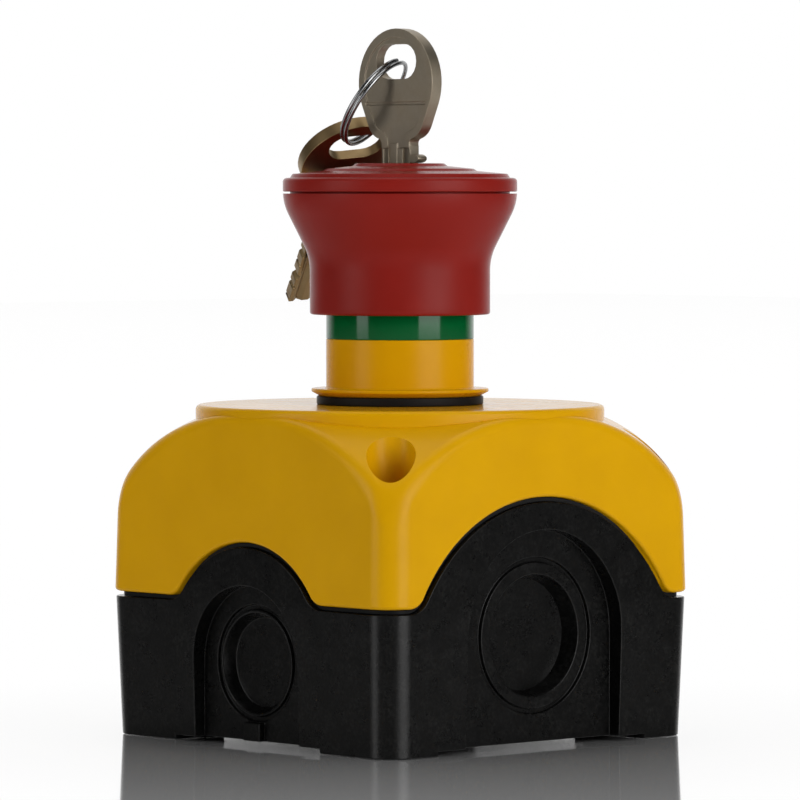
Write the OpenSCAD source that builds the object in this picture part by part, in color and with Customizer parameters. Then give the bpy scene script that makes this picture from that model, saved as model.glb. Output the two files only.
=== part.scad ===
// Emergency stop push button in a surface-mounted enclosure, with a key release lock in its
// mushroom head, a spare key on a split ring, and two normally closed contact blocks inside.
// Millimetres, +Z up, origin at the middle of the underside.

/* [Enclosure] */
// Width across the lower edge of the lid
case_w = 72.6; // [71:0.1:78]
// Height of the lid's round top above the underside
case_h = 57; // [56:0.5:62]
// Height of the base's rim above the underside
rim_h = 23.9; // [23:0.1:25.5]
// Radius of the upright corners
corner_r = 5; // [4.2:0.2:6]
// Wall thickness of the base and the lid
wall = 2.4; // [2:0.1:2.8]
// Open seam between the lid and the base
seam = 0.85; // [0.6:0.05:1]
// Draft angle of the lid's sides
lid_draft = 1.3; // [0.5:0.1:1.8]
// Draft angle of the base's sides
base_draft = 1.9; // [0.8:0.1:2.2]
// Height of the four pads that the enclosure stands on
pad_h = 0.8; // [0.4:0.1:1]
// Length of a pad along the front and back sides
pad_x = 12; // [10:0.5:13]
// Length of a pad along the left and right sides
pad_y = 18; // [15:0.5:19]

/* [Lid] */
// Radius of the rounded shoulder over each corner
shoulder_r = 25.1; // [24:0.1:26]
// Height of the round top above the shoulders
disc_rise = 1; // [0.6:0.1:1.4]
// Distance from the round top's edge to the lid's side
disc_inset = 1.05; // [0.9:0.05:1.6]
// Rounding of the round top's edge
disc_soft = 0.8; // [0.4:0.1:0.9]
// Rounding of the shoulders' edges
edge_soft = 1.5; // [1:0.1:2]
// Distance of each lid screw from the two sides beside it
screw_inset = 6.3; // [5.9:0.1:6.6]
// Radius of the screw pockets
pocket_r = 4.1; // [3.8:0.1:4.3]
// Height of the pockets' floor above the underside
pocket_floor = 31; // [29:0.5:34]
// Radius of the lid screws' heads
screw_head_r = 3.4; // [3:0.1:3.6]
// Height of the lid screws' heads
screw_head_h = 2.6; // [2:0.1:3]
// Radius of the lid screws' shanks
screw_r = 1.75; // [1.5:0.05:1.9]
// How far the lid screws reach into the base's pillars
screw_bite = 13; // [9:0.5:16]

/* [Arches] */
// Distance from the wide arches in the front and back of the lid to its sides
arch_side = 3.5; // [3:0.1:4.2]
// Height of the wide arches' centre
wide_arch_z = 9.5; // [8.8:0.1:10]
// Radius of the narrow arches in the left and right of the lid
slim_arch_r = 20.5; // [19:0.1:22]
// Height of the narrow arches' centre
slim_arch_z = 14; // [13:0.1:15]
// Rounding of the arches' feet
arch_foot_r = 3.5; // [2:0.1:4]

/* [Cable entries] */
// Depth of the recess round each cable entry
bay_depth = 3; // [2.4:0.1:3.2]
// Half width of the wide recesses
wide_bay_r = 18; // [17:0.1:18.6]
// Half width of the narrow recesses
slim_bay_r = 13.2; // [12.5:0.1:13.6]
// Height of the wide entries' centre
wide_entry_z = 18.8; // [18:0.1:19]
// Height of the narrow entries' centre
slim_entry_z = 14; // [13.6:0.1:14.4]
// Outer radius of the groove round a wide entry
wide_groove_r = 13.25; // [12.8:0.05:13.6]
// Radius of the disc that is knocked out of a wide entry
wide_disc_r = 10.35; // [10:0.05:10.6]
// Outer radius of the groove round a narrow entry
slim_groove_r = 9.9; // [9.7:0.05:10.2]
// Radius of the disc that is knocked out of a narrow entry
slim_disc_r = 8.55; // [8.2:0.05:8.8]
// Depth of the wide entries' knock-out discs below the recess
wide_knock_depth = 3; // [2:0.1:3.4]
// Depth of the narrow entries' knock-out discs below the recess
slim_knock_depth = 2.2; // [1.6:0.1:2.6]
// Thickness of the knock-out discs
knock_skin = 0.9; // [0.6:0.1:1.2]

/* [Wall fixing] */
// Distance of the wall fixing holes from the left and right sides
fix_in_x = 9.3; // [8.4:0.1:9.6]
// Distance of the wall fixing holes from the front and back sides
fix_in_y = 15.3; // [14.8:0.1:15.6]
// Radius of the wall fixing holes
fix_r = 2.25; // [2:0.05:2.3]

/* [Actuator] */
// Radius of the mounting neck that passes through the lid
neck_r = 11; // [10.8:0.05:11.1]
// Length of the neck below the lid's round top
neck_len = 12; // [11.6:0.1:13]
// Radius of the hole in the lid for the neck
panel_hole_r = 11.15; // [11.15:0.01:11.25]
// Radius of the collar
collar_r = 12.75; // [12.4:0.05:13]
// Height of the yellow part of the collar above its flange
collar_h = 8.5; // [8:0.1:9]
// Radius of the flange
flange_r = 15.3; // [14.9:0.1:16]
// Thickness of the flange
flange_h = 1.3; // [1:0.1:1.6]
// Radius of the panel gasket
gasket_r = 14.4; // [14:0.1:14.8]
// Thickness of the panel gasket
gasket_h = 1.5; // [1:0.1:2]
// Radius of the guide bore in the collar
bore_r = 9.1; // [9:0.02:9.2]
// Height of the green band
band_h = 9; // [8.6:0.1:9.4]
// Radius of the mounting nut
nut_r = 15; // [14.2:0.1:16]
// Thickness of the mounting nut
nut_h = 4.4; // [3.6:0.1:4.6]
// Thickness of the return spring's wire
spring_wire = 0.9; // [0.7:0.1:1.2]
// Number of turns of the return spring
spring_turns = 5; // [4:1:6]

/* [Mushroom head] */
// Travel of the head
travel = 4; // [3:0.1:4.1]
// Height of the green band that shows under the head
band_show = 4.2; // [4.2:0.1:4.6]
// Radius of the head's straight lower part
skirt_r = 15.55; // [15.4:0.05:16]
// Radius of the head's rim
head_r = 20.2; // [20:0.1:20.8]
// Height of the head's skirt
skirt_h = 20.8; // [20.4:0.1:21.5]
// Radius of the flare's hollow lower curve
flare_low_r = 9.6; // [8:0.1:10]
// Radius of the flare's round upper curve
flare_top_r = 9.2; // [8:0.1:9.6]
// Steepest lean of the flare from upright
flare_lean = 26.6; // [26:0.1:30]
// Wall of the skirt round the collar
skirt_wall = 2.4; // [2:0.05:2.5]
// Open joint between the skirt and the cap
head_joint = 0.5; // [0.3:0.05:0.7]
// Height of the cap above the joint
cap_h = 4.7; // [4.4:0.1:5]

/* [Lock and keys] */
// Radius of the lock's body
lock_r = 7; // [6.8:0.05:7.1]
// Length of the lock's body
lock_len = 26.4; // [26.2:0.1:26.8]
// Radius of the lock's plug
plug_r = 4.8; // [4.5:0.05:5]
// Width of a key's blade
blade_w = 7; // [6.4:0.1:7.2]
// Thickness of a key's blade
blade_t = 2.1; // [1.8:0.05:2.2]
// Length of the blade inside the lock
blade_in = 25.2; // [24:0.1:25.4]
// Height of the hole in the bow above the lock's face
hole_up = 17.5; // [17:0.1:18.5]
// Radius of a key's bow
bow_r = 9.3; // [9:0.05:9.8]
// Thickness of a key's bow at its raised border
bow_t = 2.3; // [2.1:0.05:2.5]
// Width of the hole in a key's bow
hole_w = 10; // [9.4:0.1:10.2]
// Height of the hole in a key's bow
hole_h = 6; // [5.6:0.1:6.4]
// Angle that the key turns to release the head
key_turn = 60; // [40:1:65]
// Radius of the split ring to the middle of its wire
ring_r = 8.4; // [8.2:0.05:8.6]
// Thickness of the split ring's wire
ring_wire = 0.8; // [0.6:0.05:0.9]

/* [Latch] */
// How far the latch bolts draw in when the key turns
bolt_draw = 1.2; // [0.8:0.1:1.3]
// Height of the latch bolts
bolt_h = 2.4; // [2:0.1:2.5]
// Width of the latch bolts
bolt_w = 5; // [4:0.1:5.4]
// Radius of the pins on the latch bolts
pin_r = 0.8; // [0.6:0.05:0.9]
// Thickness of the release cam
cam_h = 1.9; // [1.6:0.1:2]

/* [Contact blocks] */
// Width of a contact block
block_w = 14; // [13.5:0.1:14.4]
// Length of a contact block
block_l = 34; // [33:0.5:38]
// Height of a contact block
block_h = 27; // [26.5:0.1:28]
// Height of the adapter that holds the blocks
adapter_h = 11.4; // [11:0.1:11.6]
// Distance from the middle to each block's plunger
plunger_at = 3.2; // [3.1:0.05:3.4]
// Distance from a block's end to its contact chamber
terminal_room = 7.5; // [7.5:0.1:8.2]
// Width and length of the terminals' clamp plates
clamp_w = 5.4; // [5:0.1:5.4]
// Thickness of the clamp plates
clamp_t = 1.2; // [0.8:0.1:1.4]
// Radius of the terminal screws
terminal_r = 1.4; // [1.2:0.05:1.5]
// Radius of the terminal screws' heads
terminal_head_r = 2.4; // [2.1:0.1:2.5]
// Height of the terminal screws' heads
terminal_head_h = 1.8; // [1.4:0.1:2.2]

/* [Hidden] */
$fn = 48;

// Clearances between pieces
fit_gap = 0.05;
slide_gap = 0.1;
free_gap = 0.3;
// A tool's overshoot past a face that it cuts
over = 1;
// Reach of cuts that pass right through
reach = 100;

// Colours
yellow = [0.85, 0.62, 0.02];
black = [0.07, 0.07, 0.07];
red = [0.62, 0.08, 0.06];
green = [0.0, 0.35, 0.18];
nickel = [0.55, 0.53, 0.47];
steel = [0.66, 0.67, 0.69];
brass = [0.75, 0.6, 0.3];
white = [0.88, 0.88, 0.84];
grey = [0.35, 0.36, 0.37];

// Enclosure
lid_z = rim_h + seam;
lid_top = case_h;
shoulder_top = case_h - disc_rise;
shoulder_z = shoulder_top - shoulder_r;
shoulder_p = case_w / sqrt(2) - shoulder_r;
ceiling = shoulder_top - wall;
rim_w = case_w - 2 * 0.1;
foot_w = rim_w - 2 * rim_h * tan(base_draft);
wide_arch_r = case_w / 2 - arch_side;
ear_top = wide_arch_z + wide_arch_r;
ear_w = rim_w - 2 * (ear_top - rim_h) * tan(lid_draft);
inner_w = rim_w - 2 * wall - 0.4;
floor_z = pad_h + wall;
screw_at = case_w / 2 - screw_inset;
pillar_r = 4.6;
boss_r = pocket_r + 1.3;
fix_x = case_w - 2 * fix_in_x;
fix_y = case_w - 2 * fix_in_y;
fix_boss_h = 1.5;
screw_room = inner_w - 2 * free_gap;
seal_w = 1.1;
seal_out = inner_w + 2 * (seal_w + 0.3);
disc_r = case_w / 2 - disc_inset;

// Actuator, from the lid's round top upwards
flange_z = lid_top + gasket_h;
collar_z = flange_z + flange_h;
band_z = collar_z + collar_h;
sleeve_r = neck_r;
band_top = band_z + band_h;
collar_top = band_top + 0.5;
neck_end = lid_top - neck_len;
bore_floor = neck_end + 2.5;
rod_r = 5;

// Mushroom head
skirt_z = band_z + band_show;
skirt_top = skirt_z + skirt_h;
hollow_r = skirt_r - skirt_wall;
hollow_top = collar_top + travel + 2.8;
cap_z = skirt_top + head_joint;
cap_top = cap_z + cap_h;
spigot_r = head_r - 1.7;
seat_z = skirt_top - 2.8;
flare_run = head_r - skirt_r - (flare_low_r + flare_top_r) * (1 - cos(flare_lean));
flare_z = skirt_top + 0.5 - flare_top_r * sin(flare_lean) - flare_run / tan(flare_lean)
          - flare_low_r * sin(flare_lean);

// Lock and latch
lock_face = cap_top - 0.1;
lock_end = lock_face - lock_len;
plug_end = lock_end + 0.6;
stem_top = hollow_top - fit_gap;
stem_r = bore_r - slide_gap;
stem_in_r = lock_r + slide_gap;
cam_r = stem_in_r - 0.9;
cam_top = lock_end - 2.6;
cam_z = cam_top - cam_h;
bolt_top = cam_z - 0.4;
bolt_z = bolt_top - bolt_h;
bolt_nose = stem_r - 0.05;
bolt_heel = bolt_draw + 1;
pin_at = 4.4;
stem_low = bolt_z - 7;
stem_end = neck_end - 3;
slot_half = pin_r + free_gap;
tail_r = 2.4;
ledge_r = bore_r + 1;

// Keys, about the hole in the bow
key_z = cap_top + hole_up;
tip_z = -hole_up - blade_in;
bow_z = hole_h / 2 + 2.7 - bow_r;
cheek_r = 4;
cheek_y = 3.2;
cheek_z = bow_z - 5.8;
neck_fillet = 0.8;
neck_z = cheek_z - sqrt(pow(cheek_r + neck_fillet, 2)
                        - pow(blade_w / 2 + neck_fillet - cheek_y, 2));
// Place and lean of the spare key, which rests on the head's rim
spare_at = [2.46, 14.17, key_z - 13.89];
spare_turn = [8.5, 50, -105.8];
// Place and lean of the split ring through the holes of both keys
ring_at = [1.08, 7.51, key_z - 6.88];
ring_tilt = 56.15;
ring_heading = 114.5;

// Contact blocks, hung from the adapter
adapter_top = neck_end + 3.8;
adapter_z = adapter_top - adapter_h;
block_top = adapter_z - fit_gap;
block_z = block_top - block_h;
block_gap = 0.2;
block_mid = block_gap + block_w / 2;
chamber_w = 9.4;
chamber_l = block_l - 2 * terminal_room;
rivet_gap = chamber_l - 4;
chamber_top = block_top - 6;
chamber_z = block_z + 2;
bar_w = 4;
bar_h = 0.8;
rivet_r = 1.3;
rivet_h = 0.6;
contact_gap = 0.1;
bar_z = chamber_top - 4;
bridge_top = bar_z - 2 * rivet_h - contact_gap;
bridge_z = bridge_top - bar_h;
carrier_w = 5.4;
carrier_z = bridge_z - 2.6;
carrier_top = bridge_top + 2.4;
plunger_r = 1.6;
plunger_top = stem_end - free_gap;
screw_y = block_l / 2 - 4;
screw_top = bar_z + bar_h + 3;
terminal_gap = 0.1;
tapped_r = terminal_r + terminal_gap;
head_room = terminal_head_r + 2 * terminal_gap;

// Points along an arc about c, from angle a to angle b
function arc(c, r, a, b, steps = 12) =
    [for (i = [0:steps]) c + r * [cos(a + (b - a) * i / steps), sin(a + (b - a) * i / steps)]];

// Right half of an arch that runs out into a flat line at height flat, with a rounded foot
function arch_half(r, zc, flat, soft) =
    let (fx = sqrt(pow(r + soft, 2) - pow(flat + soft - zc, 2)),
         lean = atan2(flat + soft - zc, fx))
    concat(arc([fx, flat + soft], soft, 270, 180 + lean, 6), arc([0, zc], r, lean, 90, 14));

function mirrored(path) = [for (i = [len(path) - 1:-1:0]) [-path[i].x, path[i].y]];

// Everything under an arch and under the flat line on both sides of it
module arch_shape(r, zc, flat, soft) {
    half = arch_half(r, zc, flat, soft);
    polygon(concat([[reach, -reach], [reach, flat]], half, mirrored(half),
                   [[-reach, flat], [-reach, -reach]]));
}

// Turns a shape drawn across and up so that it runs through the front and back sides
module through_y(length = reach) {
    rotate([90, 0, 0]) linear_extrude(length, center = true) children();
}

module through_x(length = reach) {
    rotate([0, 0, 90]) through_y(length) children();
}

// The line where the lid ends, or by gap lower the line where the base ends
module seam_line(gap) {
    flat = lid_z - gap;
    through_y() arch_shape(wide_arch_r - gap, wide_arch_z, flat, arch_foot_r + gap);
    through_x() arch_shape(slim_arch_r - gap, slim_arch_z, flat, arch_foot_r + gap);
}

// A square block with round corners whose width runs from low_w to top_w
module drafted(low_w, top_w, z0, z1, r, steps = 7) {
    c = low_w / 2 - r;
    translate([0, 0, z0]) linear_extrude(z1 - z0, scale = top_w / low_w)
        polygon(concat(arc([c, c], r, 0, 90, steps), arc([-c, c], r, 90, 180, steps),
                       arc([-c, -c], r, 180, 270, steps), arc([c, -c], r, 270, 360, steps)));
}

// Copies its children to the four corners of a rectangle, as mirror images
module at_corners(x, y) {
    for (sx = [0, 1]) for (sy = [0, 1])
        mirror([sx, 0, 0]) mirror([0, sy, 0]) translate([x, y, 0]) children();
}

module tube(r_out, r_in, z0, z1) {
    difference() {
        translate([0, 0, z0]) cylinder(r = r_out, h = z1 - z0);
        translate([0, 0, z0 - over]) cylinder(r = r_in, h = z1 - z0 + 2 * over);
    }
}

module rod(r, z0, z1) {
    translate([0, 0, z0]) cylinder(r = r, h = z1 - z0);
}

// A round wire wound into a coil that stands on z0 and reaches z1
module coil(r, wire, z0, z1, turns, per_turn = 12, sides = 6) {
    steps = turns * per_turn;
    rise = (z1 - z0 - wire) / steps;
    points = [for (i = [0:steps]) for (j = [0:sides - 1])
        let (a = 360 * i / per_turn, b = 360 * j / sides, d = r + wire / 2 * cos(b))
        [d * cos(a), d * sin(a), z0 + wire / 2 + rise * i + wire / 2 * sin(b)]];
    walls = [for (i = [0:steps - 1]) for (j = [0:sides - 1])
        let (k = (j + 1) % sides)
        [i * sides + j, i * sides + k, (i + 1) * sides + k, (i + 1) * sides + j]];
    ends = [[for (j = [sides - 1:-1:0]) j], [for (j = [0:sides - 1]) steps * sides + j]];
    polyhedron(points, concat(walls, ends));
}

// One shoulder profile, drawn across a diagonal and up, taken in by inset
module shoulder_shape(inset) {
    half = arc([shoulder_p, shoulder_z], shoulder_r - inset, 0, 90, 16);
    polygon(concat([[shoulder_p + shoulder_r - inset, 0]], half, mirrored(half),
                   [[-shoulder_p - shoulder_r + inset, 0]]));
}

// The square lid with its four shoulders, taken in by inset, without its round top
module shouldered(inset) {
    z0 = rim_h - 4;
    low_w = case_w + 2 * (lid_z - z0) * tan(lid_draft) - 2 * inset;
    top_w = case_w - 2 * (case_h - lid_z) * tan(lid_draft) - 2 * inset;
    intersection() {
        drafted(low_w, top_w, z0, case_h, corner_r - inset, 5);
        rotate([0, 0, 45]) through_y() shoulder_shape(inset);
        rotate([0, 0, -45]) through_y() shoulder_shape(inset);
    }
}

// The round top with its softened edge
module top_disc() {
    rotate_extrude() {
        polygon(concat([[0, ceiling]], [[disc_r, ceiling]],
                       arc([disc_r - disc_soft, lid_top - disc_soft], disc_soft, 0, 90, 6),
                       [[0, lid_top]]));
    }
}

module lid() {
    color(yellow)
    difference() {
        union() {
            minkowski() {
                shouldered(edge_soft);
                sphere(edge_soft, $fn = 16);
            }
            intersection() {
                top_disc();
                rod(disc_r + over, ceiling, lid_top + over);
            }
        }
        difference() {
            shouldered(wall);
            at_corners(screw_at, screw_at) rod(boss_r, 0, case_h);
        }
        translate([-reach / 2, -reach / 2, -reach + lid_z]) cube([reach, reach, reach]);
        difference() {
            seam_line(0);
            translate([-screw_room / 2, -screw_room / 2, 0]) cube([screw_room, screw_room, reach]);
        }
        rod(panel_hole_r, ceiling - over, lid_top + over);
        at_corners(screw_at, screw_at) {
            rod(pocket_r, pocket_floor, case_h);
            rod(screw_r + free_gap, 0, pocket_floor + over);
        }
    }
}

module lid_seal() {
    color(grey)
    difference() {
        intersection() {
            drafted(seal_out, seal_out, rim_h - over, ear_top, corner_r - wall + seal_w + 0.5);
            seam_line(fit_gap);
        }
        drafted(seal_out - 2 * seal_w, seal_out - 2 * seal_w, rim_h - 2 * over, case_h,
                corner_r - wall + 0.5);
        seam_line(seam - fit_gap);
    }
}

// A recess open at the bottom with a round head, and its thicker backing when grow is above 0
module bay_shape(r, zc, grow) {
    head = arc([0, zc], r + grow, 0, 180, 24);
    polygon(concat([[r + grow, -over]], head, [[-r - grow, -over]]));
}

// What one cable entry takes out of the wall, seen from the recess's floor inwards
module entry_cut(groove_r, disc_r, depth) {
    groove_w = 0.85;
    groove_d = 0.7;
    taper = 0.9;
    difference() {
        translate([0, 0, -groove_d]) cylinder(r = groove_r, h = groove_d + over);
        translate([0, 0, -groove_d - over]) cylinder(r = groove_r - groove_w, h = groove_d + 3 * over);
    }
    translate([0, 0, -depth]) cylinder(r1 = disc_r - taper, r2 = disc_r, h = depth);
    cylinder(r = disc_r, h = over);
}

// Copies a side's features, drawn for the face at -Y, to that side and the one across
module both_sides(face) {
    for (turn = [0, 180])
        rotate([0, 0, turn]) translate([0, -face, 0]) rotate([90, 0, 0]) children();
}

module base() {
    face = rim_w / 2 - bay_depth;
    back = inner_w / 2 - bay_depth;
    tab_w = 4.2;
    tab_h = 3.1;
    tab_t = 1.2;
    color(black)
    difference() {
        intersection() {
            union() {
                drafted(foot_w, rim_w, 0, rim_h, corner_r);
                drafted(rim_w, ear_w, rim_h, ear_top, corner_r);
            }
            seam_line(seam);
        }
        difference() {
            drafted(inner_w, inner_w, floor_z, case_h, corner_r - wall);
            at_corners(screw_at, screw_at) rod(pillar_r, 0, rim_h);
            at_corners(fix_x / 2, fix_y / 2) rod(fix_r + wall, 0, floor_z + fix_boss_h);
            both_sides(back) linear_extrude(reach) bay_shape(wide_bay_r, wide_entry_z, wall);
            rotate([0, 0, 90]) both_sides(back)
                linear_extrude(reach) bay_shape(slim_bay_r, slim_entry_z, wall);
            both_sides(face - wide_knock_depth - knock_skin) translate([0, wide_entry_z, 0])
                cylinder(r = wide_disc_r + 1.2, h = reach);
            rotate([0, 0, 90]) both_sides(face - slim_knock_depth - knock_skin)
                translate([0, slim_entry_z, 0]) cylinder(r = slim_disc_r + 1.2, h = reach);
        }
        both_sides(face) linear_extrude(reach) bay_shape(wide_bay_r, wide_entry_z, 0);
        rotate([0, 0, 90]) both_sides(face) difference() {
            linear_extrude(reach) bay_shape(slim_bay_r, slim_entry_z, 0);
            translate([-tab_w / 2, pad_h, -over]) cube([tab_w, tab_h, over + tab_t]);
        }
        both_sides(face) translate([0, wide_entry_z, 0])
            entry_cut(wide_groove_r, wide_disc_r, wide_knock_depth);
        rotate([0, 0, 90]) both_sides(face) translate([0, slim_entry_z, 0])
            entry_cut(slim_groove_r, slim_disc_r, slim_knock_depth);
        translate([-case_w / 2 + pad_x, -reach / 2, -over])
            cube([case_w - 2 * pad_x, reach, pad_h + over]);
        translate([-reach / 2, -case_w / 2 + pad_y, -over])
            cube([reach, case_w - 2 * pad_y, pad_h + over]);
        at_corners(fix_x / 2, fix_y / 2) rod(fix_r, -over, floor_z + fix_boss_h + over);
        at_corners(screw_at, screw_at)
            rod(screw_r + fit_gap, rim_h - screw_bite - 2, rim_h + over);
    }
}

module lid_screws() {
    slot_w = 1;
    color(steel)
    at_corners(screw_at, screw_at) {
        difference() {
            union() {
                rod(screw_head_r, pocket_floor, pocket_floor + screw_head_h);
                rod(screw_r, rim_h - screw_bite, pocket_floor + over);
            }
            for (turn = [0, 90]) rotate([0, 0, turn])
                translate([-2.2, -slot_w / 2, pocket_floor + screw_head_h - 1.4])
                    cube([4.4, slot_w, 1.4 + over]);
        }
    }
}

module panel_gasket() {
    color(black) tube(gasket_r, neck_r + slide_gap, lid_top, flange_z);
}

module collar() {
    lip = 0.5;
    color(yellow)
    difference() {
        rotate_extrude() {
            polygon([[0, neck_end], [neck_r - lip, neck_end], [neck_r, neck_end + lip],
                     [neck_r, flange_z], [gasket_r - lip, flange_z],
                     [flange_r, flange_z + flange_h * 0.6], [flange_r, collar_z],
                     [collar_r, collar_z], [collar_r, band_z], [sleeve_r, band_z],
                     [sleeve_r, collar_top], [0, collar_top]]);
        }
        rod(bore_r, bore_floor, collar_top + over);
        rod(ledge_r, bolt_z - travel - 0.4, bolt_top - travel + 0.2);
        rod(rod_r + slide_gap, neck_end - over, bore_floor + over);
    }
}

module green_band() {
    color(green) tube(collar_r, sleeve_r + fit_gap, band_z, band_top);
}

module mounting_nut() {
    notch = 2.4;
    color(grey)
    difference() {
        tube(nut_r, neck_r + fit_gap, ceiling - nut_h, ceiling);
        for (turn = [0:45:315]) rotate([0, 0, turn])
            translate([nut_r - 1, -notch / 2, ceiling - nut_h - over])
                cube([3, notch, nut_h + 2 * over]);
    }
}

module mushroom_skirt() {
    a = flare_lean;
    low = [skirt_r + flare_low_r, flare_z];
    top = [head_r - flare_top_r, flare_z + flare_low_r * sin(a) + flare_run / tan(a)
           + flare_top_r * sin(a)];
    soft = 0.4;
    color(red)
    difference() {
        intersection() {
            rotate_extrude($fn = 96) {
                polygon(concat([[0, skirt_z], [skirt_r - soft, skirt_z], [skirt_r, skirt_z + soft]],
                               arc(low, flare_low_r, 180, 180 - a, 8),
                               arc(top, flare_top_r, -a, 0, 8), [[0, top.y]]));
            }
            rod(head_r + over, skirt_z, skirt_top);
        }
        rod(hollow_r, skirt_z - over, hollow_top);
        rod(lock_r + fit_gap, hollow_top - over, skirt_top + over);
        rod(spigot_r + fit_gap, seat_z, skirt_top + over);
    }
}

module mushroom_cap() {
    step_r = head_r - 1.7;
    rise_r = head_r - 7.2;
    plateau_r = lock_r + 0.6;
    color(red)
    difference() {
        rotate_extrude($fn = 96) {
            polygon(concat([[0, seat_z], [spigot_r, seat_z], [spigot_r, cap_z], [head_r, cap_z]],
                           arc([head_r - 1.4, cap_z + 1], 1.4, 0, 72, 5),
                           [[step_r + 0.3, cap_top - 2.3], [step_r, cap_top - 1.8],
                            [rise_r, cap_top - 1.3], [rise_r - 0.2, cap_top - 0.9],
                            [plateau_r + 0.3, cap_top - 0.4], [plateau_r, cap_top],
                            [0, cap_top]]));
        }
        rod(lock_r + fit_gap, seat_z - over, cap_top + over);
    }
}

module plunger_stem() {
    color(white)
    difference() {
        union() {
            rod(stem_r, stem_low, stem_top);
            rod(hollow_r - 1.6, stem_top - 1.6, stem_top);
            rod(rod_r, stem_end, stem_low + over);
        }
        rod(stem_in_r, lock_end - fit_gap, stem_top + over);
        rod(cam_r + free_gap, bolt_z - slide_gap, lock_end);
        translate([-bolt_w / 2 - slide_gap, -reach / 2, bolt_z - slide_gap])
            cube([bolt_w + 2 * slide_gap, reach, bolt_h + 2 * slide_gap]);
    }
}

module return_spring() {
    color(steel)
    coil((rod_r + bore_r) / 2, spring_wire, bore_floor, stem_low, spring_turns);
}

module lock_body() {
    color(nickel)
    difference() {
        rod(lock_r, lock_end, lock_face);
        rod(plug_r + fit_gap, plug_end - fit_gap, lock_face + over);
        rod(tail_r + slide_gap, lock_end - over, lock_face);
    }
}

module lock_plug() {
    color(nickel)
    difference() {
        union() {
            rod(plug_r, plug_end, cap_top);
            rod(tail_r, cam_top, plug_end + over);
        }
        translate([-blade_t / 2 - 0.15, -blade_w / 2 - 0.15, cap_top - blade_in - 0.2])
            cube([blade_t + 0.3, blade_w + 0.3, blade_in + over]);
    }
}

// The slot that draws a latch pin in by bolt_draw as the cam makes one key turn
module cam_slot() {
    steps = 16;
    extra = asin(slot_half / (pin_at - bolt_draw)) + 1;
    span = key_turn + 2 * extra;
    function radius_at(a) = pin_at - bolt_draw * min(max(a / key_turn, 0), 1);
    function rim(side) = [for (i = [0:steps])
        let (a = -extra + span * i / steps, r = radius_at(a) + side * slot_half)
        r * [-sin(a), cos(a)]];
    inner = rim(-1);
    polygon(concat(rim(1), [for (i = [steps:-1:0]) inner[i]]));
}

module release_cam() {
    color(steel)
    difference() {
        rod(cam_r, cam_z, cam_top);
        translate([0, 0, cam_z - over]) linear_extrude(cam_h + 2 * over) {
            cam_slot();
            rotate(180) cam_slot();
        }
    }
}

// A latch bolt that points along +Y, with the pin that follows the cam's slot
module latch_bolt() {
    color(brass) {
        intersection() {
            translate([-bolt_w / 2, bolt_heel, bolt_z]) cube([bolt_w, reach, bolt_h]);
            rod(bolt_nose, bolt_z, bolt_top);
        }
        translate([0, pin_at, 0]) rod(pin_r, bolt_top - bolt_h / 2, cam_top - 0.3);
    }
}

module latch_bolt_left() latch_bolt();
module latch_bolt_right() rotate([0, 0, 180]) latch_bolt();

// Outline of a key's bow and neck about the hole, taken in by inset
module bow_shape(inset) {
    neck_y = blade_w / 2 - inset;
    cheek = [cheek_y, cheek_z];
    centre = [0, bow_z];
    apart = norm(cheek - centre);
    lean = atan2(cheek.y - centre.y, cheek.x) + acos((bow_r - cheek_r) / apart);
    down = atan2(neck_z - cheek_z, blade_w / 2 + neck_fillet - cheek_y);
    half = concat([[neck_y, neck_z - neck_fillet]],
                  arc([blade_w / 2 + neck_fillet, neck_z], neck_fillet + inset, 180, down + 180, 5),
                  arc(cheek, cheek_r - inset, down, lean, 6),
                  arc(centre, bow_r - inset, lean, 90, 16));
    polygon(concat(half, mirrored(half)));
}

module hole_shape(grow) {
    r = hole_h / 2;
    polygon(concat(arc([hole_w / 2 - r, 0], r + grow, -90, 90, 10),
                   arc([-hole_w / 2 + r, 0], r + grow, 90, 270, 10)));
}

// A blade's section: flat steel with two milled flutes on each face
module blade_section() {
    flute = 0.55;
    half = blade_t / 2;
    w = blade_w / 2;
    polygon([[-half, -w], [half, -w], [half, -w * 0.75], [half - flute, -w * 0.55],
             [half, -w * 0.3], [half, w * 0.05], [half - flute, w * 0.3], [half, w * 0.5],
             [half, w], [-half, w], [-half, w * 0.85], [-half + flute, w * 0.65],
             [-half, w * 0.4], [-half, -w * 0.1], [-half + flute, -w * 0.35],
             [-half, -w * 0.65]]);
}

// A key about the hole in its bow: blade down, flat side facing X
module key_shape() {
    border = 1.5;
    web_t = bow_t - 0.4;
    tab_r = 1.5;
    cuts = [0.5, 0.9, 0.3, 0.7, 1, 0.4];
    cut_pitch = 3;
    module across(t) rotate([90, 0, 90]) linear_extrude(t, center = true) children();
    difference() {
        union() {
            across(web_t) bow_shape(0);
            across(bow_t) difference() {
                bow_shape(0);
                bow_shape(border);
            }
            across(blade_t) translate([-blade_w / 2 - 0.7, -hole_up + tab_r + slide_gap]) circle(tab_r);
            translate([0, 0, tip_z]) linear_extrude(neck_z - tip_z) blade_section();
        }
        across(2 * bow_t) hole_shape(0);
        for (side = [-1, 1]) translate([side * web_t / 2, 0, bow_z - 3.6])
            cube([0.4, 2 * bow_r - 3.6, 0.5], center = true);
        for (side = [-1, 1]) translate([0, side * (blade_w / 2), tip_z]) rotate([side * 42, 0, 0])
            translate([0, side * 2, -2]) cube([2 * bow_t, 4, 5], center = true);
        for (side = [-1, 1]) for (i = [0:len(cuts) - 1])
            translate([0, side * (blade_w / 2 + 1 - cuts[i]), tip_z + 4 + cut_pitch * i])
                rotate([45, 0, 0]) cube([2 * bow_t, sqrt(2), sqrt(2)], center = true);
    }
}

module key() {
    color(nickel) translate([0, 0, key_z]) key_shape();
}

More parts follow.
